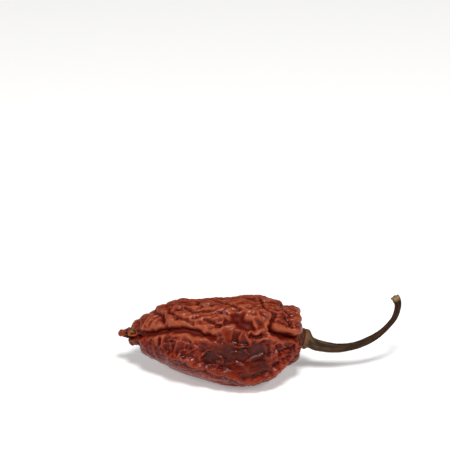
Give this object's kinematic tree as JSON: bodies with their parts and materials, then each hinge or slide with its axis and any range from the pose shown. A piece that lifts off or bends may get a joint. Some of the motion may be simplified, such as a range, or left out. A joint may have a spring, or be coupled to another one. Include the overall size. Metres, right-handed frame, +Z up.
{
  "type": "dried ghost pepper",
  "caption": "Dried wrinkled chilli pod lying on its side, with lobed folds, a small knobbly tip, a calyx and a long curved stem.",
  "frame": {"origin": "centre of the small flat spot that the pod lies on, 32 mm from the pod's tip", "axes": "+X from the pod's tip towards the stem, +Z up, square to the flat spot"},
  "size_m": [0.0752, 0.0272, 0.0234],
  "materials": {
    "pod_skin": "dried pepper skin, waxy brick red, glossy on the ridges",
    "stem": "dry fibrous stalk, olive at the calyx, dark brown beyond"
  },
  "bodies": {
    "root": {"pod": "pod_skin", "calyx_stem": "stem"}
  },
  "joints": []
}
